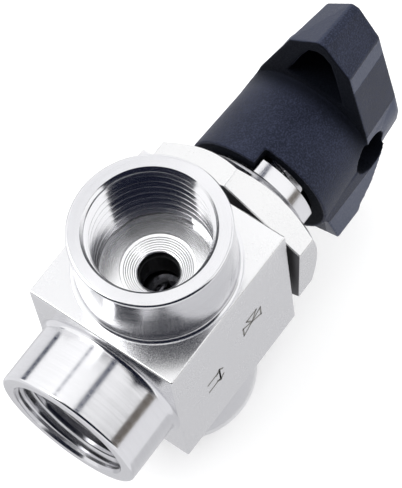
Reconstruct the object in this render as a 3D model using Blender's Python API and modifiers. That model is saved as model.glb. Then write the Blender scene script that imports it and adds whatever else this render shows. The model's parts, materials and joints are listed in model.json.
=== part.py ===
"""Three-way selector ball valve: three female ports, a panel nut and a directional handle.

The valve stands on the end face of its lower port. +Z runs up through the lower and upper ports,
+X runs along the stem towards the handle, and the common port faces -X. The origin is the bottom
centre of the valve's box. Lengths below are in millimetres and angles in degrees. Each piece is
modelled around the crossing of the stem axis and the port axis, and placed there.
"""
import math

import bmesh
import bpy
from mathutils import Matrix, Vector

MM = 0.001
SEGMENTS = 48           # round pieces that a pipe or a hand meets
SMALL_SEGMENTS = 24     # small internal pieces
GAP = 0.3               # clearance between neighbouring pieces
FIT_GAP = 0.15          # clearance between coaxial threaded pieces

# Body block and its bosses
BLOCK_X, BLOCK_Y, BLOCK_Z = 30.2, 28.0, 30.9
BOSS_R = 13.0
BOSS_CHAMFER = 0.5
PORT_FACE = 28.3        # stem axis to the end faces of the upper and lower ports
COMMON_FACE = 26.6      # port axis to the end face of the common port

# Female ports for a 1/2 inch pipe thread
THREAD_R = 9.4
MOUTH_R = 10.7
PORT_FLOOR = 14.0       # crossing of the axes to each port's floor
FLOOR_DROP = 1.5        # the floor is a shallow drill cone
PASSAGE_R = 3.4
LIP = 1.1               # steel lip in front of each seat
POCKET_R = 5.0

# Neck for panel mounting, with the raised segment that stops the handle
NECK_R = 11.0
NECK_END = 23.7
NECK_CHAMFER = 0.8
STOP_R = 10.45
STOP_END = 26.2
STOP_ANGLES = (96.5, 176.5)
NUT_NEAR, NUT_FAR = 16.2, 21.5
NUT_CORNER_R = 17.2
NUT_PHASE = 34.0
NUT_CHAMFER_ANGLE = 30.0

# Cavity, bored from the neck's end
CAVITY_R = 7.6
CAVITY_FLOOR = 8.6
LEDGE = 9.5             # step that the bonnet seal lies on
BONNET_BORE_R = 8.9

# Ball and seats
BALL_R = 6.5
BALL_BORE_R = 3.0
SLOT_WIDTH = 3.0
SLOT_FLOOR = 4.6
SEAT_R = 4.8
SEAT_BORE_R = 3.2
SEAT_GROOVE = (8.6, 9.9)
SEAT_GROOVE_R = 4.0
O_RING_R = 0.38         # radius of an O-ring's own section

# Stem
STEM_R = 3.2
STEM_FLAT = 2.5         # stem axis to each flat at the handle's end
STEM_FLAT_START = 28.0
STEM_END = 43.7
TANG_SIZE = (3.1, 2.4, 7.0)
TANG_START = 4.9
FLANGE_R = 5.4
FLANGE = (8.0, 10.1)
STEM_GROOVE = (12.0, 13.4)
STEM_GROOVE_R = 2.5

# Bonnet and packing
BONNET = (11.1, 23.4)
STEM_BORE_R = 3.5
CHAMBER_R = 5.4
CHAMBER_FLOOR = 14.6
PACKING_HEIGHT = 1.1
PACKING_PITCH = 1.4
PACKING_RISE = 0.5
GLAND_RING = (19.1, 20.1)
SPRING_STARTS = (20.4, 21.3)
SPRING_THICKNESS = 0.35
SPRING_RISE = 0.25
GLAND_NUT_HEX = (24.0, 27.0)
GLAND_NUT_START = 22.2
GLAND_NUT_CORNER_R = 6.9

# Handle
HANDLE_TURN = 7.0       # at rest the pointer stands this far past the upper port's axis
TRAVEL = 180.0
STOP_CLEARANCE = 1.5    # angle between the handle's tab and each end of the stop segment
HANDLE_TOP = 50.3
TAB_END = 24.1          # end of the skirt where the tab is
NOTCH_END = 27.3        # end of the skirt elsewhere
SKIRT_R, SKIRT_TOP_R = 12.4, 11.1
HOLLOW_R, HOLLOW_END = 9.2, 33.0
PLATE_BOTTOM = 40.4
INSERT_R = 6.2
INSERT = (29.2, 44.0)
SCREW_X = 41.0
SCREW_R = 2.4
SCREW = (2.8, 5.6)      # distances of the set screw's ends from the stem axis
SOCKET_R, SOCKET_DEPTH = 1.45, 1.8
ACCESS_R = 3.2
ACCESS_STRETCH = 1.2    # the access hole is longer along the stem than across it
ACCESS_SHIFT = 1.0      # and it sits forward of the screw, clear of the tail

# Half outlines seen along the stem: (sideways, towards the pointer's tip)
POINTER = ((11.8, -3.0), (11.8, 1.0), (10.7, 6.8), (7.0, 19.5), (5.9, 23.4), (0.8, 28.7))
POINTER_TOP = ((11.0, -3.0), (11.0, 0.5), (9.8, 5.2), (6.1, 17.7), (5.0, 21.6), (0.7, 26.8))
POINTER_CORE = ((5.4, 12.6), (3.4, 20.4), (2.1, 24.2), (0.4, 25.6))
CORE_DEPTH = 6.0
TAIL = ((12.0, 0.5), (14.3, -9.2), (9.5, -13.5))
# Side of the tail: (towards the pointer's tip, along the stem)
TAIL_SIDE = ((3.0, 26.9), (-13.8, 30.0), (-13.8, 33.4), (-8.3, 35.8), (-6.0, 39.8),
             (-2.3, 43.2), (-0.8, 44.4), (3.0, 44.4))

CROSSING = Vector(((COMMON_FACE - HANDLE_TOP) / 2, 0, PORT_FACE)) * MM

# Turns a shape built along +Z so that it runs along the named direction
TOWARDS = {
    "+Z": Matrix.Identity(4),
    "-Z": Matrix.Rotation(math.pi, 4, "X"),
    "+X": Matrix.Rotation(math.pi / 2, 4, "Y"),
    "-X": Matrix.Rotation(-math.pi / 2, 4, "Y"),
    "-Y": Matrix.Rotation(math.pi / 2, 4, "X"),
}

STEEL = ("stainless_steel", (0.80, 0.80, 0.81), 0.22, 1.0)
BALL_STEEL = ("polished_steel", (0.86, 0.86, 0.87), 0.08, 1.0)
SPRING_STEEL = ("spring_steel", (0.55, 0.56, 0.58), 0.35, 1.0)
NYLON = ("black_nylon", (0.035, 0.038, 0.055), 0.55, 0.0)
SEAT_PLASTIC = ("black_seat", (0.02, 0.02, 0.022), 0.35, 0.0)
PTFE = ("white_ptfe", (0.80, 0.79, 0.76), 0.45, 0.0)
ELASTOMER = ("o_ring_rubber", (0.015, 0.015, 0.016), 0.6, 0.0)
BLACKED_STEEL = ("black_oxide_steel", (0.06, 0.06, 0.065), 0.4, 1.0)


def clear_scene():
    """Remove every object that the file opened with."""
    for thing in list(bpy.data.objects):
        bpy.data.objects.remove(thing, do_unlink=True)


def new_collection(name):
    collection = bpy.data.collections.new(name)
    bpy.context.scene.collection.children.link(collection)
    return collection


def surface(look):
    """The Principled material for a (name, colour, roughness, metallic) look."""
    name, colour, roughness, metallic = look
    material = bpy.data.materials.get(name)
    if material:
        return material
    material = bpy.data.materials.new(name)
    material.use_nodes = True
    shader = material.node_tree.nodes["Principled BSDF"]
    shader.inputs["Base Color"].default_value = (*colour, 1.0)
    shader.inputs["Roughness"].default_value = roughness
    shader.inputs["Metallic"].default_value = metallic
    return material


def place(name, mesh, look, parent=None):
    """Put a mesh, modelled in metres around the crossing of the axes, into the scene.

    A look makes it a part. Without one it is a cutter, or a shape to be joined to a part.
    """
    thing = bpy.data.objects.new(name, mesh)
    if look:
        mesh.materials.append(surface(look))
        parts.objects.link(thing)
    else:
        thing.hide_render = True
        thing.display_type = "WIRE"
        tools.objects.link(thing)
    if parent:
        thing.parent = parent
    else:
        thing.location = CROSSING
    return thing


def turned(name, profile, towards, look=None, parent=None, closed=False, segments=SEGMENTS):
    """A turned piece. The profile's (radius, distance) points run down the outer side."""
    mesh = bpy.data.meshes.new(name)
    points = [(radius * MM, 0, height * MM) for radius, height in profile]
    edges = [(i, i + 1) for i in range(len(points) - 1)]
    if closed:
        edges.append((len(points) - 1, 0))
    mesh.from_pydata(points, edges, [])
    thing = bpy.data.objects.new(name, mesh)
    bpy.context.scene.collection.objects.link(thing)
    screw = thing.modifiers.new("turn", "SCREW")
    screw.axis = "Z"
    screw.angle = math.tau
    screw.steps = screw.render_steps = segments
    screw.use_merge_vertices = True
    screw.merge_threshold = 0.00001
    return bake(thing, TOWARDS[towards], look, parent)


def prism(name, outline, start, end, look=None, parent=None):
    """A flat outline of (y, z) points, extruded along the stem from start to end."""
    curve = bpy.data.curves.new(name, "CURVE")
    curve.dimensions = "2D"
    curve.fill_mode = "BOTH"
    curve.extrude = (end - start) / 2 * MM
    spline = curve.splines.new("POLY")
    spline.points.add(len(outline) - 1)
    for point, (across, up) in zip(spline.points, outline):
        point.co = (across * MM, up * MM, 0, 1)
    spline.use_cyclic_u = True
    thing = bpy.data.objects.new(name, curve)
    bpy.context.scene.collection.objects.link(thing)
    # The curve's X, Y and Z become the valve's Y, Z and X
    turn = Matrix(((0, 0, 1, (start + end) / 2 * MM), (1, 0, 0, 0), (0, 1, 0, 0), (0, 0, 0, 1)))
    return bake(thing, turn, look, parent)


def bake(source, turn, look, parent):
    """Replace a curve or a profile with the closed mesh it makes, turned to its direction."""
    evaluated = source.evaluated_get(bpy.context.evaluated_depsgraph_get())
    mesh = bpy.data.meshes.new_from_object(evaluated)
    name = source.name
    bpy.data.objects.remove(source, do_unlink=True)
    mesh.transform(turn)
    mesh.name = name
    cleaned = bmesh.new()
    cleaned.from_mesh(mesh)
    bmesh.ops.remove_doubles(cleaned, verts=cleaned.verts, dist=0.000005)
    cleaned.to_mesh(mesh)
    cleaned.free()
    mesh.shade_smooth()
    mesh.set_sharp_from_angle(angle=math.radians(30))
    return place(name, mesh, look, parent)


def primitive(name, make, look=None, parent=None):
    """A piece from a bmesh primitive; make fills the bmesh it is given."""
    shape = bmesh.new()
    make(shape)
    mesh = bpy.data.meshes.new(name)
    shape.to_mesh(mesh)
    shape.free()
    return place(name, mesh, look, parent)


def box(name, low, high, look=None, parent=None):
    """A box between two corners in millimetres."""
    low, high = Vector(low) * MM, Vector(high) * MM
    size = Matrix.Diagonal((*(high - low), 1.0))

    def make(shape):
        bmesh.ops.create_cube(shape, size=1.0, matrix=Matrix.Translation((low + high) / 2) @ size)

    return primitive(name, make, look, parent)


def hexagon(name, corner_r, phase, start, end, look=None, parent=None):
    """A hexagonal bar along the stem; phase is the angle of one corner from +Y."""
    middle = Matrix.Translation(((start + end) / 2 * MM, 0, 0))
    # A cone primitive's first corner is on its own Y axis, which TOWARDS["+X"] leaves alone
    roll = Matrix.Rotation(math.radians(phase), 4, "X")

    def make(shape):
        bmesh.ops.create_cone(shape, cap_ends=True, segments=6, radius1=corner_r * MM,
                              radius2=corner_r * MM, depth=(end - start) * MM,
                              matrix=middle @ roll @ TOWARDS["+X"])

    return primitive(name, make, look, parent)


def loft(name, low_outline, low, high_outline, high, parent):
    """A closed body between two flat (y, z) outlines that lie across the stem."""
    shape = bmesh.new()
    rings = []
    for outline, along in ((low_outline, low), (high_outline, high)):
        ring = [shape.verts.new(Vector((along, across, up)) * MM) for across, up in outline]
        shape.faces.new(ring)
        rings.append(ring)
    count = len(low_outline)
    for i in range(count):
        j = (i + 1) % count
        shape.faces.new((rings[0][i], rings[0][j], rings[1][j], rings[1][i]))
    bmesh.ops.recalc_face_normals(shape, faces=shape.faces)
    mesh = bpy.data.meshes.new(name)
    shape.to_mesh(mesh)
    shape.free()
    return place(name, mesh, None, parent)


def boolean(thing, tool, operation):
    modifier = thing.modifiers.new(tool.name, "BOOLEAN")
    modifier.operation = operation
    modifier.object = tool


def cut(thing, *cutters):
    for cutter in cutters:
        boolean(thing, cutter, "DIFFERENCE")


def join(thing, *shapes):
    for shape in shapes:
        boolean(thing, shape, "UNION")


def sector(inner, outer, first, last, steps=16):
    """Outline of a ring segment between two angles, measured from +Y towards +Z."""
    angles = [math.radians(first + (last - first) * i / steps) for i in range(steps + 1)]
    rim = [(outer * math.cos(a), outer * math.sin(a)) for a in angles]
    bore = [(inner * math.cos(a), inner * math.sin(a)) for a in reversed(angles)]
    return rim + bore


def mirrored(half):
    """The whole outline of a half outline that starts on the right, going up."""
    return list(half) + [(-across, up) for across, up in reversed(half)]


def ring_section(radius, centre, section_r, steps=8):
    """Closed round section for an O-ring, running down its outer side."""
    turns = [-math.tau * i / steps for i in range(steps)]
    return [(radius + section_r * math.cos(a), centre + section_r * math.sin(a)) for a in turns]


def tube(outer, inner, start, end):
    """Closed profile of a plain ring."""
    return [(outer, end), (outer, start), (inner, start), (inner, end)]


def boss(name, towards, face):
    profile = [(0, face), (BOSS_R - BOSS_CHAMFER, face), (BOSS_R, face - BOSS_CHAMFER),
               (BOSS_R, BALL_R), (0, BALL_R)]
    return turned(name, profile, towards)


def port_cutter(name, towards, face):
    """Mouth chamfer, thread bore, drill cone, passage and seat pocket of one port."""
    reach = 1.0
    chamfer = MOUTH_R - THREAD_R
    passage_start = PORT_FLOOR - FLOOR_DROP
    pocket_end = passage_start - LIP
    profile = [(0, face + reach), (MOUTH_R + reach, face + reach), (THREAD_R, face - chamfer),
               (THREAD_R, PORT_FLOOR), (PASSAGE_R, passage_start), (PASSAGE_R, pocket_end),
               (POCKET_R, pocket_end), (POCKET_R, BALL_R / 2), (0, BALL_R / 2)]
    return turned(name, profile, towards)


def make_body():
    half = Vector((BLOCK_X, BLOCK_Y, BLOCK_Z)) / 2
    body = box("valve_body", -half, half, STEEL)
    neck = turned("neck", [(0, NECK_END), (NECK_R - NECK_CHAMFER, NECK_END),
                           (NECK_R, NECK_END - NECK_CHAMFER), (NECK_R, BALL_R), (0, BALL_R)], "+X")
    stop = prism("stop_segment", sector(BONNET_BORE_R - GAP, STOP_R, *STOP_ANGLES),
                 NECK_END - 2 * GAP, STOP_END)
    join(body, boss("upper_boss", "+Z", PORT_FACE), boss("lower_boss", "-Z", PORT_FACE),
         boss("common_boss", "-X", COMMON_FACE), neck, stop)
    cavity = turned("cavity", [(0, STOP_END + 1), (BONNET_BORE_R, STOP_END + 1),
                               (BONNET_BORE_R, LEDGE), (CAVITY_R, LEDGE),
                               (CAVITY_R, -CAVITY_FLOOR), (0, -CAVITY_FLOOR)], "+X")
    cut(body, cavity, port_cutter("upper_port", "+Z", PORT_FACE),
        port_cutter("lower_port", "-Z", PORT_FACE), port_cutter("common_port", "-X", COMMON_FACE))


def make_seats():
    """One tubular seat and its O-ring behind each port's lip."""
    back = PORT_FLOOR - FLOOR_DROP - LIP - GAP
    contact_r = BALL_R + GAP
    groove_start, groove_end = SEAT_GROOVE
    front_out = math.sqrt(contact_r ** 2 - SEAT_R ** 2)
    front_in = math.sqrt(contact_r ** 2 - SEAT_BORE_R ** 2)
    profile = [(SEAT_R, back), (SEAT_R, groove_end), (SEAT_GROOVE_R, groove_end),
               (SEAT_GROOVE_R, groove_start), (SEAT_R, groove_start), (SEAT_R, front_out),
               (SEAT_BORE_R, front_in), (SEAT_BORE_R, back)]
    ring_r = (POCKET_R + SEAT_GROOVE_R) / 2
    ring = ring_section(ring_r, (groove_start + groove_end) / 2, O_RING_R)
    for port, towards in (("upper", "+Z"), ("lower", "-Z"), ("common", "-X")):
        turned(f"{port}_port_seat", profile, towards, SEAT_PLASTIC, closed=True,
               segments=SMALL_SEGMENTS)
        turned(f"{port}_seat_o_ring", ring, towards, ELASTOMER, closed=True,
               segments=SMALL_SEGMENTS)


def make_ball(handle_axis):
    """Ball with an L bore: one leg to the common port, the other to the pointer's side."""
    ball = primitive("ball", lambda shape: bmesh.ops.create_uvsphere(
        shape, u_segments=SMALL_SEGMENTS, v_segments=SMALL_SEGMENTS // 2, radius=BALL_R * MM),
        BALL_STEEL, handle_axis)
    reach = BALL_R + 1
    bore = [(0, reach), (BALL_BORE_R, reach), (BALL_BORE_R, -BALL_BORE_R), (0, -BALL_BORE_R)]
    slot = box("ball_slot", (SLOT_FLOOR, -SLOT_WIDTH / 2, -reach), (reach, SLOT_WIDTH / 2, reach),
               parent=handle_axis)
    cut(ball, turned("common_leg", bore, "-X", parent=handle_axis, segments=SMALL_SEGMENTS),
        turned("selected_leg", bore, "+Z", parent=handle_axis, segments=SMALL_SEGMENTS), slot)


def make_stem(handle_axis):
    flange_start, flange_end = FLANGE
    groove_start, groove_end = STEM_GROOVE
    tip = 0.5
    profile = [(0, STEM_END), (STEM_R - tip, STEM_END), (STEM_R, STEM_END - tip),
               (STEM_R, groove_end), (STEM_GROOVE_R, groove_end), (STEM_GROOVE_R, groove_start),
               (STEM_R, groove_start), (STEM_R, flange_end), (FLANGE_R, flange_end),
               (FLANGE_R, flange_start), (0, flange_start)]
    stem = turned("stem", profile, "+X", STEEL, handle_axis, segments=SMALL_SEGMENTS)
    depth, width, height = TANG_SIZE
    tang = box("stem_tang", (TANG_START, -width / 2, -height / 2),
               (TANG_START + depth + GAP, width / 2, height / 2), parent=handle_axis)
    join(stem, tang)
    for side, label in ((-1, "left"), (1, "right")):
        near, far = sorted((side * STEM_FLAT, side * (STEM_R + 1)))
        cut(stem, box(f"{label}_stem_flat", (STEM_FLAT_START, near, -STEM_R - 1),
                      (STEM_END + 1, far, STEM_R + 1), parent=handle_axis))


def make_bonnet():
    """Threaded bonnet that holds the stem in, with its seal and the stem's thrust washer."""
    start, end = BONNET
    outer = BONNET_BORE_R - FIT_GAP
    profile = [(outer, end), (outer, start), (STEM_BORE_R, start), (STEM_BORE_R, CHAMBER_FLOOR),
               (CHAMBER_R, CHAMBER_FLOOR), (CHAMBER_R, end)]
    turned("bonnet", profile, "+X", STEEL, closed=True)
    turned("bonnet_seal", tube(outer, CAVITY_R + FIT_GAP, LEDGE + GAP, start - GAP), "+X", PTFE,
           closed=True)
    turned("stem_thrust_washer", tube(FLANGE_R, STEM_BORE_R, FLANGE[1] + 0.25, start - 0.25), "+X",
           PTFE, closed=True, segments=SMALL_SEGMENTS)
    ring = ring_section((STEM_GROOVE_R + STEM_BORE_R) / 2, sum(STEM_GROOVE) / 2, O_RING_R)
    turned("stem_o_ring", ring, "+X", ELASTOMER, closed=True, segments=SMALL_SEGMENTS)


def make_packing():
    """Three chevron rings, the gland ring that spreads them, and two disc springs."""
    outer, inner = CHAMBER_R - FIT_GAP, STEM_R + FIT_GAP
    middle = (outer + inner) / 2
    for number, label in enumerate(("lower", "middle", "upper")):
        low = CHAMBER_FLOOR + GAP + number * PACKING_PITCH
        high = low + PACKING_HEIGHT - PACKING_RISE
        chevron = [(outer, high), (outer, low), (middle, low + PACKING_RISE), (inner, low),
                   (inner, high), (middle, high + PACKING_RISE)]
        turned(f"{label}_packing_ring", chevron, "+X", PTFE, closed=True, segments=SMALL_SEGMENTS)
    turned("gland_ring", tube(outer, inner, *GLAND_RING), "+X", STEEL, closed=True,
           segments=SMALL_SEGMENTS)
    for label, low in zip(("lower", "upper"), SPRING_STARTS):
        cone = [(outer, low + SPRING_THICKNESS), (outer, low), (inner, low + SPRING_RISE),
                (inner, low + SPRING_RISE + SPRING_THICKNESS)]
        turned(f"{label}_disc_spring", cone, "+X", SPRING_STEEL, closed=True,
               segments=SMALL_SEGMENTS)


def make_gland_nut():
    hex_start, hex_end = GLAND_NUT_HEX
    nut = hexagon("gland_nut", GLAND_NUT_CORNER_R, 0, hex_start, hex_end, STEEL)
    shank_r = CHAMBER_R - FIT_GAP
    shank = turned("gland_shank", [(0, hex_start + 1), (shank_r, hex_start + 1),
                                   (shank_r, GLAND_NUT_START), (0, GLAND_NUT_START)], "+X",
                   segments=SMALL_SEGMENTS)
    bore = turned("gland_bore", [(0, hex_end + 1), (STEM_BORE_R, hex_end + 1),
                                 (STEM_BORE_R, GLAND_NUT_START - 1), (0, GLAND_NUT_START - 1)],
                  "+X", segments=SMALL_SEGMENTS)
    join(nut, shank)
    cut(nut, bore)


def make_panel_nut():
    """Large thin hexagon nut; a cone takes the corners off its far face."""
    nut = hexagon("panel_nut", NUT_CORNER_R, NUT_PHASE, NUT_NEAR, NUT_FAR, STEEL)
    face_r = NUT_CORNER_R * math.cos(math.pi / 6) - 0.6
    fall = math.tan(math.radians(NUT_CHAMFER_ANGLE))
    wide_r = NUT_CORNER_R + 2
    drop = (wide_r - face_r) * fall
    cone = turned("nut_cone", [(0, NUT_FAR + 0.01), (face_r, NUT_FAR + 0.01),
                               (wide_r, NUT_FAR - drop), (wide_r, NUT_NEAR - 1),
                               (0, NUT_NEAR - 1)], "+X")
    bore_r = NECK_R + FIT_GAP
    bore = turned("nut_bore", [(0, NUT_FAR + 1), (bore_r, NUT_FAR + 1), (bore_r, NUT_NEAR - 1),
                               (0, NUT_NEAR - 1)], "+X")
    boolean(nut, cone, "INTERSECT")
    cut(nut, bore)


def make_tail(handle_axis):
    """Flared tail behind the hub: its plan outline, trimmed to its side outline."""
    deep = 16.0
    plan = prism("tail", mirrored(tuple(reversed(TAIL))), TAB_END, HANDLE_TOP, parent=handle_axis)
    curve = prism("tail_side", [(up, along) for up, along in TAIL_SIDE], -deep, deep,
                  parent=handle_axis)
    # The side outline is drawn in the (Y, Z) plane; it belongs in the (Z, X) plane
    curve.data.transform(Matrix(((0, 0, 1, 0), (1, 0, 0, 0), (0, 1, 0, 0), (0, 0, 0, 1))))
    boolean(plan, curve, "INTERSECT")
    return plan


def make_grip(handle_axis):
    edge = 0.6
    grip = turned("handle_grip", [(0, HANDLE_TOP), (SKIRT_TOP_R - edge, HANDLE_TOP),
                                  (SKIRT_TOP_R, HANDLE_TOP - edge), (SKIRT_R, TAB_END),
                                  (0, TAB_END)], "+X", NYLON, handle_axis)
    plate = loft("pointer", mirrored(POINTER), PLATE_BOTTOM, mirrored(POINTER_TOP), HANDLE_TOP,
                 handle_axis)
    first = STOP_ANGLES[1] + STOP_CLEARANCE - TRAVEL - HANDLE_TURN
    last = STOP_ANGLES[0] - STOP_CLEARANCE - HANDLE_TURN
    notch = prism("skirt_notch", sector(HOLLOW_R - 1, SKIRT_R + 1, last, first + 360),
                  TAB_END - 1, NOTCH_END, parent=handle_axis)
    join(grip, plate)
    cut(grip, notch)
    join(grip, make_tail(handle_axis))
    hollow = turned("skirt_hollow", [(0, HOLLOW_END), (HOLLOW_R, HOLLOW_END),
                                     (HOLLOW_R, TAB_END - 1), (0, TAB_END - 1)], "+X",
                    parent=handle_axis)
    insert_r = INSERT_R + GAP
    pocket = turned("insert_pocket", [(0, INSERT[1] + GAP), (insert_r, INSERT[1] + GAP),
                                      (insert_r, HOLLOW_END - 1), (0, HOLLOW_END - 1)], "+X",
                    parent=handle_axis, segments=SMALL_SEGMENTS)
    core = prism("pointer_core", mirrored(POINTER_CORE), PLATE_BOTTOM - 1,
                 PLATE_BOTTOM + CORE_DEPTH, parent=handle_axis)
    access = side_hole("access_hole", ACCESS_R, 0, 20, handle_axis, ACCESS_STRETCH)
    access.data.transform(Matrix.Translation((0, 0, ACCESS_SHIFT * MM)))
    cut(grip, hollow, pocket, core, access)


def side_hole(name, radius, start, end, handle_axis, stretch=1.0):
    """Cutter along the set screw's axis, which leaves the stem axis towards -Y."""
    cutter = turned(name, [(0, end), (radius, end), (radius, start), (0, start)], "-Y",
                    parent=handle_axis, segments=SMALL_SEGMENTS)
    cutter.data.transform(Matrix.Translation((SCREW_X * MM, 0, 0)) @ Matrix.Diagonal((stretch, 1, 1, 1)))
    return cutter


def make_insert(handle_axis):
    """Metal insert moulded into the grip, and the set screw that clamps it to the stem."""
    start, end = INSERT
    insert = turned("handle_insert", tube(INSERT_R, STEM_R + GAP, start, end), "+X", STEEL,
                    handle_axis, closed=True, segments=SMALL_SEGMENTS)
    cut(insert, side_hole("screw_thread", SCREW_R + GAP, 0, INSERT_R + 1, handle_axis))
    inner, outer = SCREW
    socket_floor = outer - SOCKET_DEPTH
    screw = turned("handle_set_screw", [(0, outer), (SCREW_R, outer), (SCREW_R, inner), (0, inner)],
                   "-Y", BLACKED_STEEL, handle_axis, segments=SMALL_SEGMENTS)
    screw.data.transform(Matrix.Translation((SCREW_X * MM, 0, 0)))
    socket_middle = (socket_floor + outer + 1) / 2
    where = Matrix.Translation((SCREW_X * MM, -socket_middle * MM, 0)) @ TOWARDS["-Y"]
    socket = primitive("screw_socket", lambda shape: bmesh.ops.create_cone(
        shape, cap_ends=True, segments=6, radius1=SOCKET_R * MM, radius2=SOCKET_R * MM,
        depth=(outer + 1 - socket_floor) * MM, matrix=where), parent=handle_axis)
    cut(screw, socket)


clear_scene()
parts = new_collection("three_way_ball_valve")
tools = new_collection("cutters")

# Everything that turns with the handle hangs on this empty, which lies on the stem's axis
turning = bpy.data.objects.new("handle_axis", None)
turning.location = CROSSING
turning.rotation_euler = (math.radians(HANDLE_TURN), 0, 0)
parts.objects.link(turning)

make_body()
make_seats()
make_ball(turning)
make_stem(turning)
make_bonnet()
make_packing()
make_gland_nut()
make_panel_nut()
make_grip(turning)
make_insert(turning)
bpy.context.view_layer.update()
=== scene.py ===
"""Looks of the three-way selector ball valve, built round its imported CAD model.

Shapes are drawn in millimetres around the crossing of the stem axis (+X, towards the handle) and the
port axis (+Z, towards the upper port), and placed on the CAD joint's own point. The steel body, the
panel nut and the handle stand in for their plain CAD solids; every other node keeps its shape and
takes a better material.
"""

import json
import math

import bmesh
import bpy
from mathutils import Matrix, Vector


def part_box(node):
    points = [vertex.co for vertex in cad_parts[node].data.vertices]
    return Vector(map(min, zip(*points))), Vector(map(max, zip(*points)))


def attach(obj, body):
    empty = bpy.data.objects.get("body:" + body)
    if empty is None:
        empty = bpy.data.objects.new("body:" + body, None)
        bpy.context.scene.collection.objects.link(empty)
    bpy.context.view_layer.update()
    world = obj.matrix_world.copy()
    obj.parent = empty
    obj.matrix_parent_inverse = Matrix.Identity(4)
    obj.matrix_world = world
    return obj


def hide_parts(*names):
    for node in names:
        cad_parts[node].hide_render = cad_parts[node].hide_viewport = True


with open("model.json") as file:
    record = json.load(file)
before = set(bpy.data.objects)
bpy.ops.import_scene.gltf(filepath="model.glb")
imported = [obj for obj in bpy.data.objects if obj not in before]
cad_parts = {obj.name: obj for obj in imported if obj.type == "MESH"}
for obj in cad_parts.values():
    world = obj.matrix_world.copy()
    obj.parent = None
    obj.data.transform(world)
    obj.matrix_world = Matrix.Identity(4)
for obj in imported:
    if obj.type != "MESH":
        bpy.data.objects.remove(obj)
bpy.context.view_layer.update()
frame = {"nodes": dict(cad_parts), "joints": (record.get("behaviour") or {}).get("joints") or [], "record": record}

MM = 0.001
TAU = math.tau
joint = frame["joints"][0]
CROSSING = Vector(joint["pos_m"])
body_low, body_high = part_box("valve_body")

# Body, in millimetres from the crossing
PORT_FACE = CROSSING.z / MM
COMMON_FACE = (CROSSING.x - body_low.x) / MM
STOP_END = (body_high.x - CROSSING.x) / MM
BLOCK = Vector((30.2, 28.0, 30.9))
BLOCK_EDGE = 0.35
BOSS_R = 13.0
FILLET = 0.85
RIM = 0.5
ROOT = 9.5                  # the bosses and the neck start this far from the crossing, inside the block
NECK_R, NECK_END = 11.0, 23.7
STOP_R, STOP_INNER_R = 10.45, 8.6
STOP_ANGLES = (96.5, 176.5)
CAVITY_R, CAVITY_END = 7.6, -8.6
BONNET_BORE_R, LEDGE = 8.9, 9.5

# Female pipe thread in each port, slightly wider at the mouth
MOUTH_R = 10.7
CREST_R = 9.4
TAPER = 0.35
PORT_PITCH = 1.814
PORT_DEPTH = 1.0
PORT_FLOOR = 14.0
UNDERCUT = (9.8, 14.35)     # radius and top of the narrow groove round the floor
STEP_R = 6.1
PASSAGE_R, PASSAGE_END = 3.4, 12.5
DRILL_STEPS = 7
DRILL_STEP, DRILL_TREAD = Vector((0.34, 0.16)), Vector((0.25, 0.03))    # (outwards, upwards)
POCKET_R, POCKET_START, POCKET_END = 5.0, 7.0, 11.4

# Panel nut and the thread it runs on
nut_low, nut_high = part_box("panel_nut")
NUT_NEAR = (nut_low.x - CROSSING.x) / MM
NUT_FAR = (nut_high.x - CROSSING.x) / MM
NUT_CORNER_R = 17.2
NUT_EDGE = 0.22
NUT_PHASE = 34.0
NUT_CHAMFER_ANGLE = 30.0
NECK_PITCH = 1.5
NECK_DEPTH = 0.8
NUT_PLAY = 0.15
THREAD_FORM = ((0.0, 0.0), (0.05, 0.0), (0.5, 1.0), (0.95, 0.0))    # (share of a pitch, of the depth)

# Handle
HANDLE_TURN = 7.0
SKIRT = (24.1, 12.4)        # (distance along the stem, radius) at the skirt's end
CROWN = (50.3, 11.1)        # the same at the top of the hub
PLATE_BOTTOM = 40.4         # the pointer plate starts here along the stem
ACCESS, ACCESS_R = (41.0, 1.0), 3.2     # oval hole over the set screw: middle and half height
ACCESS_STRETCH = 1.2
VOXEL = 0.21
SMOOTHING = 7

# Polished bands of the handle's mould, painted paler as a painted sheen, as heights from the stem towards the
# pointer's tip
PLATE_TAPER = 0.19          # how much the pointer's outline draws in per millimetre up the plate
SHOULDER = (19.2, 22.9)
NOSE_START = 23.0
CHEEK_END = 6.4
TAIL_START = -2.6
TAIL_HALF_WIDTH = 11.7

# Pocket moulded into the pointer from below
CORE_DEPTH = 6.2
CORE = (12.3, 26.0)
CORE_TIP, CORE_FLARE = 26.5, 0.42       # where its sides would meet, and half their opening

# Studio
FLOOR_ALBEDO, FLOOR_GLOW = 0.95, 0.10
SKY_STRENGTH = 1.33
CARD_DISTANCE = 0.7

# Camera: direction from the valve, roll, distance and what it aims at beside the crossing
CAMERA_AZIMUTH, CAMERA_ELEVATION, CAMERA_ROLL = -43.9, 64.7, -10.9
CAMERA_DISTANCE = 435.4
CAMERA_AIM = (5.61, 9.63)
CAMERA_LENS = 198.8

TOWARDS = {
    "+Z": Matrix.Identity(3),
    "-Z": Matrix.Rotation(math.pi, 3, "X"),
    "+X": Matrix.Rotation(math.pi / 2, 3, "Y"),
    "-X": Matrix.Rotation(-math.pi / 2, 3, "Y"),
}


# ---------------------------------------------------------------- materials

def new_material(name, colour, roughness, metallic):
    """A material with its node tree and its shader."""
    material = bpy.data.materials.new(name)
    material.use_nodes = True
    tree = material.node_tree
    shader = tree.nodes["Principled BSDF"]
    shader.inputs["Base Color"].default_value = (*colour, 1.0)
    shader.inputs["Roughness"].default_value = roughness
    shader.inputs["Metallic"].default_value = metallic
    return material, tree, shader


def node(tree, kind, **values):
    """A new node; keyword arguments set its properties, or its inputs by name."""
    made = tree.nodes.new(kind)
    for key, value in values.items():
        if key in made.bl_rna.properties:
            setattr(made, key, value)
        else:
            made.inputs[key.replace("_", " ")].default_value = value
    return made


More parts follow.
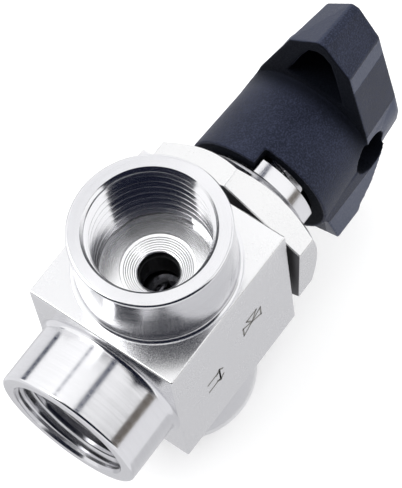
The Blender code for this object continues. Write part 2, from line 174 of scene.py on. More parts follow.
def maths(tree, operation, first, second=None):
    """A sum of two values, each a number or a socket."""
    made = tree.nodes.new("ShaderNodeMath")
    made.operation = operation
    for socket, value in zip(made.inputs, (first, second)):
        if isinstance(value, bpy.types.NodeSocket):
            tree.links.new(value, socket)
        elif value is not None:
            socket.default_value = value
    return made.outputs[0]


def noise(tree, vector, scale, detail=3.0, roughness=0.55):
    made = node(tree, "ShaderNodeTexNoise", Scale=scale, Detail=detail, Roughness=roughness)
    tree.links.new(vector, made.inputs["Vector"])
    return made.outputs["Fac"]


def ranged(tree, value, low, high, start=0.3, end=0.7):
    """Map a noise value onto the range low to high."""
    made = node(tree, "ShaderNodeMapRange")
    made.inputs["From Min"].default_value = start
    made.inputs["From Max"].default_value = end
    made.inputs["To Min"].default_value = low
    made.inputs["To Max"].default_value = high
    tree.links.new(value, made.inputs["Value"])
    return made.outputs["Result"]


def blended(tree, share, first, second):
    """A colour between a first one, which may come from another node, and a second."""
    made = tree.nodes.new("ShaderNodeMix")
    made.data_type = "RGBA"
    colours = [socket for socket in made.inputs if socket.type == "RGBA"]
    if isinstance(first, bpy.types.NodeSocket):
        tree.links.new(first, colours[0])
    else:
        colours[0].default_value = (*first, 1.0)
    colours[1].default_value = (*second, 1.0)
    tree.links.new(share, made.inputs["Factor"])
    return next(socket for socket in made.outputs if socket.type == "RGBA")


def object_coordinates(tree):
    return tree.nodes.new("ShaderNodeTexCoord").outputs["Object"]


def bump(tree, shader, height, strength, distance_mm):
    made = node(tree, "ShaderNodeBump", Strength=strength, Distance=distance_mm * MM)
    tree.links.new(height, made.inputs["Height"])
    tree.links.new(made.outputs["Normal"], shader.inputs["Normal"])


def shade_steel(tree, shader, lines, colour, roughness, spread, line_bump):
    """Tool lines drive colour, roughness and bump; slow smudges vary the roughness as well."""
    where = object_coordinates(tree)
    smudge = noise(tree, where, 140.0, 2.0)
    dark = tuple(c * 0.95 for c in colour)
    tree.links.new(blended(tree, ranged(tree, lines, 0.0, 1.0), dark, colour),
                   shader.inputs["Base Color"])
    rough = maths(tree, "ADD", ranged(tree, lines, -spread, spread),
                  ranged(tree, smudge, roughness - spread / 2, roughness + spread / 2))
    tree.links.new(maths(tree, "MAXIMUM", rough, 0.04), shader.inputs["Roughness"])
    bump(tree, shader, lines, line_bump, 0.02)


def turned_steel(name, axis, colour, roughness, line_bump=0.12, rings=3200.0, brushing=0.6):
    """Steel turned about an axis through the crossing, with fine rings and streaky reflections."""
    material, tree, shader = new_material(name, colour, roughness, 1.0)
    split = tree.nodes.new("ShaderNodeSeparateXYZ")
    tree.links.new(object_coordinates(tree), split.inputs[0])
    across = [split.outputs[letter] for letter in "XYZ" if letter != axis]
    radius = maths(tree, "SQRT", maths(tree, "ADD", maths(tree, "MULTIPLY", across[0], across[0]),
                                       maths(tree, "MULTIPLY", across[1], across[1])))
    ring = tree.nodes.new("ShaderNodeCombineXYZ")
    tree.links.new(radius, ring.inputs["X"])
    tree.links.new(split.outputs[axis], ring.inputs["Y"])
    shade_steel(tree, shader, noise(tree, ring.outputs[0], rings), colour, roughness, 0.05, line_bump)
    tangent = node(tree, "ShaderNodeTangent", direction_type="RADIAL", axis=axis)
    tree.links.new(tangent.outputs[0], shader.inputs["Tangent"])
    shader.inputs["Anisotropic"].default_value = brushing
    shader.inputs["Anisotropic Rotation"].default_value = 0.25
    return material


def milled_steel(name, colour, roughness, fineness, line_bump):
    """Steel with a fine machined grain; fineness is its scale along X, Y and Z."""
    material, tree, shader = new_material(name, colour, roughness, 1.0)
    mapping = node(tree, "ShaderNodeMapping", Scale=fineness)
    tree.links.new(object_coordinates(tree), mapping.inputs["Vector"])
    lines = noise(tree, mapping.outputs[0], 1.0, 4.0, 0.6)
    shade_steel(tree, shader, lines, colour, roughness, 0.035, line_bump)
    return material


def moulded_nylon(name, colour, sheen_colour, shade_colour):
    """Glass-filled nylon: speckled grain, smooth bands painted paler as a painted sheen, and painted shade in the
    recesses, where the mesh says so.
    """
    material, tree, shader = new_material(name, colour, 0.5, 0.0)
    where = object_coordinates(tree)
    grain = noise(tree, where, 3600.0, 2.0, 0.65)
    cloud = noise(tree, where, 190.0, 3.0)
    sheen_band = node(tree, "ShaderNodeAttribute", attribute_name="polish_and_sheen").outputs["Fac"]
    painted_shade = node(tree, "ShaderNodeAttribute", attribute_name="painted_shade").outputs["Fac"]
    fleck = maths(tree, "ADD", ranged(tree, grain, 0.0, 0.8, 0.44, 0.66), ranged(tree, cloud, 0.0, 0.2))
    speckled = blended(tree, fleck, colour, tuple(c * 4.0 for c in colour))
    # The polished bands are painted paler: a painted sheen.
    with_sheen = blended(tree, sheen_band, speckled, sheen_colour)
    # Painted shade: the recess attribute blends the colour towards near black under the pointer and in the holes.
    tree.links.new(blended(tree, painted_shade, with_sheen, shade_colour), shader.inputs["Base Color"])
    rough = maths(tree, "SUBTRACT", ranged(tree, grain, 0.40, 0.64), maths(tree, "MULTIPLY", sheen_band, 0.12))
    tree.links.new(maths(tree, "ADD", rough, maths(tree, "MULTIPLY", painted_shade, 0.35)),
                   shader.inputs["Roughness"])
    roughened = maths(tree, "SUBTRACT", 1.0, maths(tree, "MULTIPLY", sheen_band, 0.8))
    bump(tree, shader, maths(tree, "MULTIPLY", grain, roughened), 0.9, 0.12)
    shader.inputs["Specular Tint"].default_value = (0.55, 0.66, 1.0, 1.0)
    shader.inputs["IOR"].default_value = 1.34
    return material


def plain_grained(name, colour, roughness, metallic, scale, depth):
    """A small part's material: turned or moulded grain with a little colour variation."""
    material, tree, shader = new_material(name, colour, roughness, metallic)
    grain = noise(tree, object_coordinates(tree), scale, 3.0)
    tree.links.new(blended(tree, ranged(tree, grain, 0.0, 1.0), tuple(c * 0.85 for c in colour), colour),
                   shader.inputs["Base Color"])
    tree.links.new(ranged(tree, grain, roughness - 0.08, roughness + 0.08), shader.inputs["Roughness"])
    bump(tree, shader, grain, depth, 0.03)
    return material


STEEL_COLOUR = (0.73, 0.73, 0.75)
turned_z = turned_steel("steel_turned_ports", "Z", STEEL_COLOUR, 0.20, 0.05)
turned_x = turned_steel("steel_turned_stem_axis", "X", STEEL_COLOUR, 0.20, 0.05)
bored_z = turned_steel("steel_bored_ports", "Z", STEEL_COLOUR, 0.17, 0.05)
# The common port's bore is a darker copy of the bored steel: painted shade inside it.
shaded_bored_x = turned_steel("steel_bored_common_port_shaded", "X", (0.60, 0.60, 0.62), 0.18, 0.05)
faced = turned_steel("steel_faced", "Z", (0.93, 0.93, 0.94), 0.24, 0.008, 2600.0, 0.3)
milled = milled_steel("steel_milled_block", (0.79, 0.79, 0.80), 0.25, (3200.0, 4200.0, 4200.0), 0.002)
nut_steel = milled_steel("steel_nut", (0.77, 0.77, 0.775), 0.26, (4000.0, 2500.0, 2500.0), 0.008)
# Dark steel that paints shade on the panel nut's near face.
nut_face_shade = milled_steel("steel_nut_face_painted_shade", (0.12, 0.12, 0.125), 0.5, (3000.0, 3000.0, 900.0), 0.1)
# Near-black steel for the passages and the ball's cavity: painted shade.
shadowed = plain_grained("steel_passage_painted_shade", (0.05, 0.05, 0.06), 0.45, 1.0, 1500.0, 0.1)
# The handle's nylon: its own colour, a paler colour on the polished bands as a painted sheen, and near black as
# painted shade in its recesses.
nylon = moulded_nylon("nylon_black", (0.0080, 0.0090, 0.0155), (0.040, 0.046, 0.072),
                      (0.0004, 0.0004, 0.0008))
etched = plain_grained("laser_mark", (0.22, 0.215, 0.20), 0.5, 0.6, 3000.0, 0.1)

NODE_MATERIALS = {
    "polished_steel": plain_grained("steel_polished_ball", (0.45, 0.45, 0.47), 0.14, 1.0, 900.0, 0.03),
    "stainless_steel": turned_steel("steel_inner_parts", "X", STEEL_COLOUR, 0.2),
    "spring_steel": plain_grained("steel_spring", (0.55, 0.56, 0.58), 0.35, 1.0, 1500.0, 0.08),
    "black_seat": plain_grained("seat_plastic", (0.02, 0.02, 0.022), 0.36, 0.0, 2500.0, 0.08),
    "white_ptfe": plain_grained("ptfe", (0.80, 0.79, 0.76), 0.42, 0.0, 1800.0, 0.06),
    "o_ring_rubber": plain_grained("rubber", (0.015, 0.015, 0.016), 0.5, 0.0, 3500.0, 0.12),
    "black_oxide_steel": plain_grained("steel_blacked", (0.05, 0.05, 0.055), 0.36, 1.0, 2200.0, 0.08),
}


# ---------------------------------------------------------------- shapes

def mesh_object(name, shape, material):
    """Turn a bmesh in millimetres into an object that stands on the crossing."""
    bmesh.ops.scale(shape, vec=(MM, MM, MM), verts=shape.verts)
    mesh = bpy.data.meshes.new(name)
    shape.to_mesh(mesh)
    shape.free()
    mesh.materials.append(material)
    made = bpy.data.objects.new(name, mesh)
    bpy.context.scene.collection.objects.link(made)
    made.location = CROSSING
    return made


def lathe(name, profile, towards, material, segments=144):
    """A closed turned body, from a profile of (radius, height) points."""
    shape = bmesh.new()
    turn = TOWARDS[towards]
    rings = []
    for radius, height in profile:
        if radius == 0:
            rings.append([shape.verts.new(turn @ Vector((0, 0, height)))])
            continue
        ring = []
        for i in range(segments):
            angle = TAU * i / segments
            point = Vector((radius * math.cos(angle), radius * math.sin(angle), height))
            ring.append(shape.verts.new(turn @ point))
        rings.append(ring)
    for ring, after in zip(rings, rings[1:]):
        bridge(shape, ring, after, segments)
    bmesh.ops.recalc_face_normals(shape, faces=shape.faces)
    return mesh_object(name, shape, material)


def bridge(shape, ring, after, segments):
    """Join two closed rings of points with faces; either may be a single point."""
    for i in range(segments):
        j = (i + 1) % segments
        if len(ring) == 1:
            shape.faces.new((ring[0], after[j], after[i]))
        elif len(after) == 1:
            shape.faces.new((ring[i], ring[j], after[0]))
        else:
            shape.faces.new((ring[i], ring[j], after[j], after[i]))


def prism(name, outline, start, end, material):
    """A flat outline of (y, z) points, extruded along the stem."""
    shape = bmesh.new()
    caps = [[shape.verts.new((x, y, z)) for y, z in outline] for x in (start, end)]
    for cap in caps:
        shape.faces.new(cap)
    bridge(shape, caps[0], caps[1], len(outline))
    bmesh.ops.recalc_face_normals(shape, faces=shape.faces)
    return mesh_object(name, shape, material)


def rounded(thing, width, segments=3):
    """Round every edge sharper than 30 degrees by width, in millimetres."""
    bevel = thing.modifiers.new("round", "BEVEL")
    bevel.width = width * MM
    bevel.segments = segments
    bevel.limit_method = "ANGLE"
    bevel.angle_limit = math.radians(30)
    apply_modifiers(thing)


def apply_modifiers(thing):
    """Turn what the modifiers make of a thing into its own mesh."""
    evaluated = thing.evaluated_get(bpy.context.evaluated_depsgraph_get())
    mesh = bpy.data.meshes.new_from_object(evaluated)
    thing.modifiers.clear()
    thing.data = mesh


def combine(thing, operation, tools):
    """Boolean the tools into a thing, one after another, and keep each tool's own material."""
    for tool in tools:
        modifier = thing.modifiers.new(tool.name, "BOOLEAN")
        modifier.operation = operation
        modifier.object = tool
        modifier.material_mode = "TRANSFER"
    bpy.context.view_layer.update()
    apply_modifiers(thing)
    for tool in tools:
        bpy.data.objects.remove(tool, do_unlink=True)


def shade(thing, angle=32):
    """Smooth shading that keeps flat faces flat and edges above the angle crisp."""
    thing.data.shade_smooth()
    thing.data.set_sharp_from_angle(angle=math.radians(angle))
    normals = thing.modifiers.new("normals", "WEIGHTED_NORMAL")
    normals.keep_sharp = True


def arc(centre, radius, first, last, steps):
    """Points of an arc in a profile, from one angle to another."""
    angles = [math.radians(first + (last - first) * i / steps) for i in range(steps + 1)]
    return [(centre[0] + radius * math.cos(a), centre[1] + radius * math.sin(a)) for a in angles]


def threaded_rod(name, towards, radii, span, pitch, depth, material, segments=144):
    """A closed rod with a V thread, which deepens over its first half turn.

    The radii are those of its crests at the two ends of its span. The mesh winds with the thread: the
    last column of one turn joins the first column of the next.
    """
    shape = bmesh.new()
    turn = TOWARDS[towards]
    start, end = span
    per_turn = len(THREAD_FORM)
    rows = []
    for lap in range(math.ceil((end - start) / pitch)):
        for phase, share in THREAD_FORM:
            row = []
            for i in range(segments):
                angle = TAU * i / segments
                height = start + pitch * (lap + phase + i / segments)
                fade = min(1.0, 2 * (height - start) / pitch)
                radius = radii[0] + (radii[1] - radii[0]) * (height - start) / (end - start)
                radius += depth * share * fade
                point = Vector((radius * math.cos(angle), radius * math.sin(angle), height))
                row.append(shape.verts.new(turn @ point))
            rows.append(row)
    for row, above in zip(rows, rows[1:]):
        for i in range(segments - 1):
            shape.faces.new((row[i], row[i + 1], above[i + 1], above[i]))
    for k in range(len(rows) - per_turn - 1):
        shape.faces.new((rows[k][-1], rows[k + per_turn][0], rows[k + per_turn + 1][0], rows[k + 1][-1]))
    close_end(shape, rows[0] + [rows[k][0] for k in range(per_turn, 0, -1)], turn @ Vector((0, 0, start)))
    last = rows[::-1]
    close_end(shape, last[0] + [last[k][-1] for k in range(1, per_turn + 1)],
              turn @ Vector((0, 0, end + pitch)))
    bmesh.ops.recalc_face_normals(shape, faces=shape.faces)
    return mesh_object(name, shape, material)


def close_end(shape, loop, middle):
    """Fan from a middle point to every edge of a loop."""
    centre = shape.verts.new(middle)
    for one, other in zip(loop, loop[1:] + loop[:1]):
        shape.faces.new((one, other, centre))


# ---------------------------------------------------------------- body

def boss(name, towards, face, material):
    """A port's boss, with a rounded rim and a fillet where it leaves the block."""
    base = (BLOCK.z if towards[1] == "Z" else BLOCK.x) / 2
    profile = [(0, ROOT), (BOSS_R + FILLET, ROOT)]
    profile += arc((BOSS_R + FILLET, base + FILLET), FILLET, 270, 180, 7)
    profile += arc((BOSS_R - RIM, face - RIM), RIM, 0, 90, 5)
    profile += [(0, face)]
    return lathe(name, profile, towards, material)


def floor_rings():
    """Drill cone with the fine steps that the tool left, from the hole outwards."""
    rings = []
    corner = Vector((PASSAGE_R + 0.15, PASSAGE_END + 0.1))
    for i in range(DRILL_STEPS):
        start = corner + i * DRILL_STEP
        rings += [tuple(start), tuple(start + DRILL_TREAD)]
    return rings


def port_cutters(name, towards, face, material):
    """What a port's tools remove: hole, stepped floor and mouth in one, and the thread."""
    profile = [(0, POCKET_START), (POCKET_R, POCKET_START), (POCKET_R, POCKET_END),
               (PASSAGE_R, POCKET_END), (PASSAGE_R, PASSAGE_END)]
    profile += floor_rings()
    profile += [(STEP_R, PORT_FLOOR - 0.35), (STEP_R + 0.06, PORT_FLOOR - 0.08),
                (UNDERCUT[0], PORT_FLOOR), UNDERCUT, (CREST_R - 0.2, UNDERCUT[1] + 0.1),
                (CREST_R - 0.2, face - 1.6), (MOUTH_R - 0.5, face - 1.0), (MOUTH_R - 0.45, face - 0.5),
                (MOUTH_R - 0.08, face - 0.1), (MOUTH_R + 0.02, face + 0.02), (MOUTH_R + 0.02, face + 1),
                (0, face + 1)]
    plain = lathe(name + "_bore", profile, towards, material)
    wound = threaded_rod(name + "_thread", towards, (CREST_R, CREST_R + TAPER),
                         (PORT_FLOOR + 0.1, face + 2), PORT_PITCH, PORT_DEPTH, material)
    return [plain, wound]


def make_block():
    """The square block between the ports."""
    shape = bmesh.new()
    bmesh.ops.create_cube(shape, size=1.0)
    bmesh.ops.scale(shape, vec=BLOCK, verts=shape.verts)
    block = mesh_object("machined_body", shape, milled)
    rounded(block, BLOCK_EDGE)
    return block


def make_neck():
    """Threaded neck with a chamfered end."""
    rod = threaded_rod("neck", "+X", (NECK_R, NECK_R), (BLOCK.x / 2 - 3, NECK_END + 2), NECK_PITCH,
                       -NECK_DEPTH, turned_x)
    blank = lathe("neck_blank", [(0, ROOT), (NECK_R + 1, ROOT), (NECK_R + 1, NECK_END - 1.6),
                                 (NECK_R - 0.75, NECK_END), (0, NECK_END)], "+X", turned_x)
    combine(rod, "INTERSECT", [blank])
    return rod


def make_stop():
    """Raised segment of the neck's end that limits the handle's turn."""
    first, last = STOP_ANGLES
    outer = arc((0, 0), STOP_R, first, last, 28)
    inner = arc((0, 0), STOP_INNER_R, last, first, 28)
    stop = prism("stop", outer + inner, NECK_END - 0.4, STOP_END, turned_x)
    rounded(stop, 0.18, 2)
    return stop


def make_body():
    """Block, bosses, neck and stop in one, with the ports and the stem's bore cut in."""
    body = make_block()
    combine(body, "UNION", [boss("upper_boss", "+Z", PORT_FACE, turned_z),
                            boss("lower_boss", "-Z", PORT_FACE, turned_z),
                            boss("common_boss", "-X", COMMON_FACE, turned_x),
                            make_neck(), make_stop()])
    cavity = lathe("cavity", [(0, STOP_END + 1), (BONNET_BORE_R, STOP_END + 1), (BONNET_BORE_R, LEDGE),
                              (CAVITY_R, LEDGE), (CAVITY_R, CAVITY_END), (0, CAVITY_END)], "+X", turned_x)
    combine(body, "DIFFERENCE", [cavity, *port_cutters("upper_port", "+Z", PORT_FACE, bored_z),
                                 *port_cutters("lower_port", "-Z", PORT_FACE, bored_z),
                                 *port_cutters("common_port", "-X", COMMON_FACE, shaded_bored_x)])
    refinish(body, faced, on_port_floor)
    # The passages and the cavity take the near-black steel as painted shade.
    refinish(body, shadowed, in_passage)
    shade(body)
    settle(body, "valve", "stainless_steel", "valve_body")


def in_passage(face):
    """True for the walls of the small passages and of the ball's cavity."""
    return max(abs(part) for part in face.center / MM) < PASSAGE_END


def on_port_floor(face):
    """True for the faced and drilled bottoms of the upper and lower ports."""
    centre = face.center / MM
    return PASSAGE_END < abs(centre.z) < PORT_FLOOR + 0.05 and math.hypot(centre.x, centre.y) < CREST_R + 1


def refinish(thing, material, chosen):
    """Give another material to a thing's faces for which chosen is true."""
    thing.data.materials.append(material)
    for face in thing.data.polygons:
        if chosen(face):
            face.material_index = len(thing.data.materials) - 1


def settle(piece, body, slot, *nodes):
    """Ride on a body and stand in for CAD nodes."""
    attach(piece, body)
    if nodes:
        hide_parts(*nodes)


def make_panel_nut():
    """Hexagon with a chamfered far face, on the neck's thread, with painted shade on its near face."""
    corners = [(NUT_CORNER_R * math.cos(math.radians(NUT_PHASE + 60 * i)),
                NUT_CORNER_R * math.sin(math.radians(NUT_PHASE + 60 * i))) for i in range(6)]
    nut = prism("hexagon_nut", corners, NUT_NEAR, NUT_FAR, nut_steel)
    rounded(nut, NUT_EDGE)
    face_r = NUT_CORNER_R * math.cos(math.pi / 6) - 0.6
    wide_r = NUT_CORNER_R + 2
    fall = (wide_r - face_r) * math.tan(math.radians(NUT_CHAMFER_ANGLE))
    cone = lathe("nut_cone", [(0, NUT_FAR + 0.01), (face_r, NUT_FAR + 0.01), (wide_r, NUT_FAR - fall),
                              (wide_r, NUT_NEAR - 1), (0, NUT_NEAR - 1)], "+X", turned_x)
    combine(nut, "INTERSECT", [cone])
    bore_r = NECK_R + NUT_PLAY
    mouth_r, throat_r, depth = bore_r + 0.4, bore_r - 0.9, 1.3
    mouths = lathe("nut_mouths", [(0, NUT_NEAR - 1), (mouth_r, NUT_NEAR - 1), (mouth_r, NUT_NEAR),
                                  (throat_r, NUT_NEAR + depth), (throat_r, NUT_FAR - depth),
                                  (mouth_r, NUT_FAR), (mouth_r, NUT_FAR + 1), (0, NUT_FAR + 1)],
                   "+X", turned_x)
    wound = threaded_rod("nut_thread", "+X", (bore_r, bore_r), (NUT_NEAR - 5, NUT_FAR + 2), NECK_PITCH,
                         -NECK_DEPTH, turned_x)
    combine(nut, "DIFFERENCE", [mouths, wound])
    # The near face takes the dark steel as painted shade.
    refinish(nut, nut_face_shade, lambda face: face.normal.x < -0.9)
    shade(nut)
    settle(nut, "valve", "stainless_steel", "panel_nut")


# ---------------------------------------------------------------- handle

def hub_radius(x):
    """Radius of the hub's cone at a distance along the stem, in millimetres."""
    (x0, r0), (x1, r1) = SKIRT, CROWN
    return r0 + (r1 - r0) * (x - x0) / (x1 - x0)


def copy_of(name, cad_node):
    """A new object with a CAD node's mesh, in its joint's own frame at rest."""
    mesh = frame["nodes"][cad_node].data.copy()
    place = Matrix.Translation(CROSSING) @ Matrix.Rotation(math.radians(HANDLE_TURN), 4, "X")
    mesh.transform(place.inverted())
    made = bpy.data.objects.new(name, mesh)
    bpy.context.scene.collection.objects.link(made)
    made.matrix_world = place
    return made


def true_up_hub(mesh):
    """Move the hub's faceted wall onto its true cone."""
    for vertex in mesh.vertices:
        x, y, z = vertex.co / MM
        radius = math.hypot(y, z)
        target = hub_radius(x)
        if target - 0.09 < radius < target + 0.03 and x < CROWN[0] - 0.8:
            vertex.co.y *= target / radius
            vertex.co.z *= target / radius


def ramp(value, low, high):
    """0 below low, 1 above high, and smooth between them; low may be the greater."""
    share = max(0.0, min(1.0, (value - low) / (high - low)))
    return share * share * (3 - 2 * share)


def polish_and_sheen_share(x, y, z):
    """1 on the shoulders, cheeks and tail flanks, which are polished in the mould and painted paler as a painted
    sheen, and 0.5 on the nose.
    """
    drawn_in = (x - PLATE_BOTTOM) * PLATE_TAPER
    on_plate = x > PLATE_BOTTOM + 0.2
    shoulder = on_plate and abs(y) > 4.4 and SHOULDER[0] < z + drawn_in < SHOULDER[1]
    cheek = on_plate and abs(y) > 9 and z + drawn_in * 0.8 < CHEEK_END
    tail = z < TAIL_START and abs(y) > TAIL_HALF_WIDTH and x < PLATE_BOTTOM + 2
    nose = on_plate and y > 0.5 and z + drawn_in > NOSE_START
    return 1.0 if shoulder or cheek or tail else 0.5 if nose else 0.0


def painted_shade_share(x, y, z):
    """Share of painted shade at a point: growing towards the corner under the pointer on the hub's pointer side,
    and full in the pocket under the pointer and in the handle's holes.
    """
    radius = math.hypot(y, z)
    facing = ramp(z / radius, -0.1, 0.55)
    under = 0.9 * ramp(x, PLATE_BOTTOM - 4, PLATE_BOTTOM) if radius < hub_radius(x) + 0.3 else 1.0
    if x > PLATE_BOTTOM + 0.12 or x < 30:
        under = 0.0
    in_core = (PLATE_BOTTOM < x < PLATE_BOTTOM + CORE_DEPTH and CORE[0] < z < CORE[1]
               and abs(y) < (CORE_TIP - z) * CORE_FLARE)
    in_bore = radius < hub_radius(x) - 0.5 and x < CROWN[0] - 1
    from_access = math.hypot((x - ACCESS[0]) / ACCESS_STRETCH, z - ACCESS[1])
    in_access = y < -5.5 and from_access < ACCESS_R + 0.15
    return 1.0 if in_core or in_bore or in_access else under * facing


def mark_surface(mesh):
    """Store the polished bands, which also get a painted sheen, and the painted shade of the recesses on the mesh,
    for its material.
    """
    for name, rule in (("polish_and_sheen", polish_and_sheen_share), ("painted_shade", painted_shade_share)):
        layer = mesh.attributes.new(name, "FLOAT", "POINT")
        for vertex, value in zip(mesh.vertices, layer.data):
            value.value = rule(*(vertex.co / MM))


def make_handle():
    """Moulded handle: the CAD shape as an even fine mesh with softened edges."""
    handle = copy_of("pointer_handle", "handle_grip")
    remesh = handle.modifiers.new("even", "REMESH")
    remesh.mode = "VOXEL"
    remesh.voxel_size = VOXEL * MM
    apply_modifiers(handle)
    true_up_hub(handle.data)
    soften = handle.modifiers.new("soften", "SMOOTH")
    soften.factor = 0.5
    soften.iterations = SMOOTHING
    apply_modifiers(handle)
    mark_surface(handle.data)
    handle.data.transform(Matrix.Rotation(math.radians(HANDLE_TURN), 4, "X"))
    handle.matrix_world = Matrix.Translation(CROSSING)
    handle.data.materials.clear()
    handle.data.materials.append(nylon)
    handle.data.shade_smooth()
    settle(handle, "handle", "black_nylon", "handle_grip")


# ---------------------------------------------------------------- flow mark

def stroke(shape, points, width, face_y):
    """A thin closed line of the given width through (x, z) points, lying on the block's -Y face."""
    for first, last in zip(points, points[1:]):
        a, b = Vector(first), Vector(last)
        along = (b - a).normalized() * width / 2
        side = Vector((-along.y, along.x))
        corners = [a - along - side, b + along - side, b + along + side, a - along + side]
        layers = [[shape.verts.new((p.x, y, p.y)) for p in corners] for y in (face_y, face_y - 0.03)]
        for layer in layers:
            shape.faces.new(layer)
        bridge(shape, layers[0], layers[1], 4)


def make_flow_mark():
    """A generic sign for a three-way valve, and two arrows for its two ways."""
    face_y = -BLOCK.y / 2
    shape = bmesh.new()
    size, width = 2.3, 0.34     # of the valve sign, and of every line
    centre = Vector((4.6, 2.2))
    for turn in (0, 90, 180):
        out = Vector((math.cos(math.radians(turn)), math.sin(math.radians(turn))))
        side = Vector((-out.y, out.x)) * size * 0.55
        tip = centre + out * size
        stroke(shape, [centre, tip + side, tip - side, centre], width, face_y)
    for sign in (1, -1):
        start = Vector((-7.6, -1.4 * sign - 1.6))
        bend = start + Vector((3.0, 0))
        end = bend + Vector((0, 3.4 * sign))
        stroke(shape, [start, bend, end], width, face_y)
        stroke(shape, [end + Vector((-0.8, -0.9 * sign)), end, end + Vector((0.8, -0.9 * sign))], width,
               face_y)
    bmesh.ops.recalc_face_normals(shape, faces=shape.faces)
    settle(mesh_object("flow_mark", shape, etched), "valve", "stainless_steel")


# ---------------------------------------------------------------- studio

def flat_sheet(name, size, colour, roughness):
    """A staged square sheet at the height of the floor."""
    mesh = bpy.data.meshes.new(name)
    half = size / 2
    mesh.from_pydata([(-half, -half, 0), (half, -half, 0), (half, half, 0), (-half, half, 0)], [],
                     [(0, 1, 2, 3)])
    material, _, _ = new_material(name, colour, roughness, 0.0)
    mesh.materials.append(material)
    made = bpy.data.objects.new(name, mesh)
    bpy.context.scene.collection.objects.link(made)
    return made


def floor_card(name, inner, outer, colour):
    """A flat ring just over the floor that only shows in reflections."""
    shape = bmesh.new()
    steps = 48
    height = 0.0005 - CROSSING.z
    turns = [TAU * i / steps for i in range(steps)]
    rings = [[shape.verts.new((radius * math.cos(turn), radius * math.sin(turn), height)) for turn in turns]
             for radius in (inner, outer)]
    bridge(shape, rings[0], rings[1], steps)
    reflection_only(name, shape, colour)


def dark_card(name, directions, colour):
    """A card that only shows in reflections; directions is a grid of (heading, elevation) rows."""
    shape = bmesh.new()
    grid = []
    for row in directions:
        points = []
        for heading, elevation in row:
            h, e = math.radians(heading), math.radians(elevation)
            direction = Vector((math.cos(h) * math.cos(e), math.sin(h) * math.cos(e), math.sin(e)))
            points.append(shape.verts.new(direction * CARD_DISTANCE))
        grid.append(points)
    for row, after in zip(grid, grid[1:]):
        for i in range(len(row) - 1):
            shape.faces.new((row[i], row[i + 1], after[i + 1], after[i]))
    reflection_only(name, shape, colour)


def reflection_only(name, shape, colour):
    """Stage a shape, in metres around the crossing, as an even glow that only reflections show."""
    mesh = bpy.data.meshes.new(name)
    shape.to_mesh(mesh)
    shape.free()
    material = bpy.data.materials.new(name)
    material.use_nodes = True
    tree = material.node_tree
    tree.nodes.clear()
    glow = node(tree, "ShaderNodeEmission", Color=(*colour, 1.0))
    output = tree.nodes.new("ShaderNodeOutputMaterial")
    tree.links.new(glow.outputs[0], output.inputs["Surface"])
    mesh.materials.append(material)
    card = bpy.data.objects.new(name, mesh)
    bpy.context.scene.collection.objects.link(card)
    card.location = CROSSING
    card.visible_camera = False
    card.visible_diffuse = False
    card.visible_shadow = False


def patch(headings, elevations, steps=8):
    """Even grid of directions between two headings and two elevations."""
    (h0, h1), (e0, e1) = headings, elevations
    return [[(h0 + (h1 - h0) * i / steps, e0 + (e1 - e0) * j / steps) for i in range(steps + 1)]
            for j in range(steps + 1)]


def bar(angles, reach=(-0.1, 0.9), steps=6):
    """Grid of directions of a long bar parallel to the stem, between two angles about it."""
    rows = []
    for j in range(steps + 1):
        along = reach[0] + (reach[1] - reach[0]) * j / steps
        row = []
        for i in range(steps + 1):
            a = math.radians(angles[0] + (angles[1] - angles[0]) * i / steps)
            direction = Vector((along, math.cos(a), math.sin(a))).normalized()
            row.append((math.degrees(math.atan2(direction.y, direction.x)),
                        math.degrees(math.asin(direction.z))))
        rows.append(row)
    return rows


def soft_light(name, direction, distance, size, power):
    """A square soft light that shines at the crossing from a direction."""
    light = bpy.data.lights.new(name, "AREA")
    light.size = size
    light.energy = power
    made = bpy.data.objects.new(name, light)
    bpy.context.scene.collection.objects.link(made)
    made.location = CROSSING + Vector(direction).normalized() * distance
    made.rotation_euler = Vector(direction).to_track_quat("Z", "Y").to_euler()


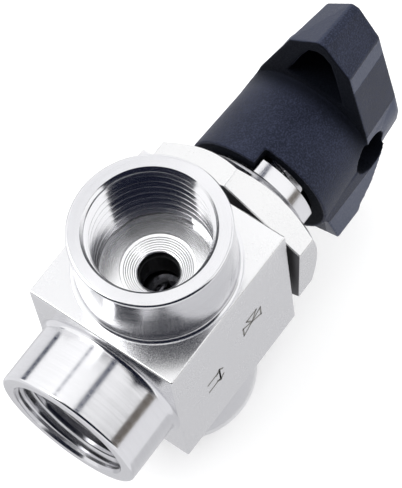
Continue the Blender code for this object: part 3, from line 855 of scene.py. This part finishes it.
def make_studio():
    """Pale glowing floor, even soft light, and the dark and grey cards that the steel mirrors."""
    floor = flat_sheet("floor", 6.0, (FLOOR_ALBEDO, FLOOR_ALBEDO, FLOOR_ALBEDO), 0.6)
    glow = floor.data.materials[0].node_tree.nodes["Principled BSDF"].inputs
    glow["Emission Color"].default_value = (1.0, 1.0, 1.0, 1.0)
    glow["Emission Strength"].default_value = FLOOR_GLOW
    world = bpy.data.worlds.new("studio")
    bpy.context.scene.world = world
    world.use_nodes = True
    sky = world.node_tree.nodes["Background"].inputs
    sky["Color"].default_value = (1.0, 1.0, 1.0, 1.0)
    sky["Strength"].default_value = SKY_STRENGTH
    soft_light("key", (-0.5, 0.75, 1.3), 0.9, 0.5, 2.5)
    dark_card("dark_camera_side", patch((152, 279), (4, 76)), (0.012, 0.014, 0.028))
    floor_card("far_floor_reflection", 0.045, 0.6, (0.98, 0.98, 1.0))
    # The near ring's grey stands in for the floor's shade round the valve: a painted shadow in reflections.
    floor_card("near_floor_shadow_reflection", 0.0135, 0.045, (0.70, 0.70, 0.72))
    dark_card("dark_far_left", bar((-15, 8)), (0.03, 0.04, 0.08))
    dark_card("grey_far_right", bar((167, 191)), (0.20, 0.175, 0.15))
    dark_card("thin_overhead", bar((62, 66)), (0.35, 0.36, 0.42))
    dark_card("dark_overhead", bar((98, 106)), (0.06, 0.07, 0.12))
    bpy.context.scene.view_settings.view_transform = "Standard"


def make_camera():
    """A long lens that looks down on the valve over its lower front corner."""
    azimuth, elevation, roll = (math.radians(a) for a in (CAMERA_AZIMUTH, CAMERA_ELEVATION, CAMERA_ROLL))
    back = Vector((math.sin(azimuth) * math.cos(elevation), -math.cos(azimuth) * math.cos(elevation),
                   math.sin(elevation)))
    level = Vector((math.cos(azimuth), math.sin(azimuth), 0))
    up = back.cross(level)
    right = math.cos(roll) * level + math.sin(roll) * up
    top = math.cos(roll) * up - math.sin(roll) * level
    data = bpy.data.cameras.new("camera")
    data.lens = CAMERA_LENS
    data.sensor_width = 36.0
    data.clip_start = 0.01
    camera = bpy.data.objects.new("camera", data)
    bpy.context.scene.collection.objects.link(camera)
    pose = Matrix((right, top, back)).transposed().to_4x4()
    offset = back * CAMERA_DISTANCE + right * CAMERA_AIM[0] + top * CAMERA_AIM[1]
    pose.translation = CROSSING + offset * MM
    camera.matrix_world = pose
    bpy.context.scene.camera = camera


def finish_cad_nodes():
    """Give every CAD node that still shows the material of its slot."""
    slots = {part["node"]: part["material_slot"] for part in frame["record"]["subparts"]}
    for name, thing in frame["nodes"].items():
        if thing.hide_render:
            continue
        for holder in thing.material_slots:
            holder.material = NODE_MATERIALS[slots[name]]


make_camera()
make_studio()
make_body()
make_panel_nut()
make_handle()
make_flow_mark()
finish_cad_nodes()
